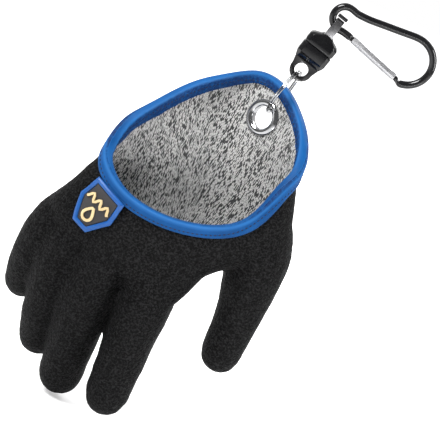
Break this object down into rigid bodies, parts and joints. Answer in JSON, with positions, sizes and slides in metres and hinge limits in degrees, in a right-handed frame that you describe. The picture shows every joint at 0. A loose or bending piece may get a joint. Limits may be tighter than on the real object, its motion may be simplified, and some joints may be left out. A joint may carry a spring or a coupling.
{
  "type": "fishing glove",
  "caption": "Right-hand fishing glove of crinkle-coated knit with a bound slanted mouth, badge and eyelet, on a ring, magnetic clip and carabiner.",
  "frame": {"origin": "middle of the glove's mouth, where the hand goes in", "axes": "+Z out of the mouth with the fingers pointing down, +X to the thumb side, -Y to the back of the hand and +Y to the palm"},
  "size_m": [0.1895, 0.0727, 0.3021],
  "materials": {
    "latex": "matt black crinkle latex",
    "knit": "grey flecked knit",
    "tape": "woven blue binding tape",
    "badge_blue": "satin moulded",
    "badge_field": "matt moulded",
    "badge_relief": "satin moulded",
    "chrome": "polished",
    "clip_shell": "gloss black",
    "strap_steel": "brushed",
    "bar_steel": "dark",
    "black_anodised": "black anodised",
    "bare_aluminium": "satin"
  },
  "bodies": {
    "glove": {"glove_shell": "latex", "knit_liner": "knit", "edge_binding": "tape", "badge_frame": "badge_blue", "badge_plate": "badge_field", "badge_wave": "badge_relief", "badge_drop": "badge_relief", "eyelet": "chrome", "split_ring": "chrome", "clip_lower": "clip_shell"},
    "clip_top": {"clip_upper": "clip_shell"},
    "hook": {"strap_loop": "strap_steel", "strap_bar": "bar_steel", "carabiner_body": "black_anodised"},
    "gate": {"carabiner_gate": "bare_aluminium"}
  },
  "joints": [
    {"name": "clip_pull", "type": "slide", "parent": "glove", "child": "clip_top", "axis": [0.2334, 0, 0.9724], "range_m": [0, 0.02]},
    {"name": "hook_swivel", "type": "hinge", "parent": "clip_top", "child": "hook", "pos_m": [0.03981, 0.03141, 0.08745], "axis": [0.2334, 0, 0.9724], "continuous": true},
    {"name": "gate_hinge", "type": "hinge", "parent": "hook", "child": "gate", "pos_m": [0.05601, 0.03141, 0.08926], "axis": [0, -1, 0], "range_deg": [0, 25], "stiffness_Nm_per_rad": 0.05, "springref_deg": -17.19}
  ]
}
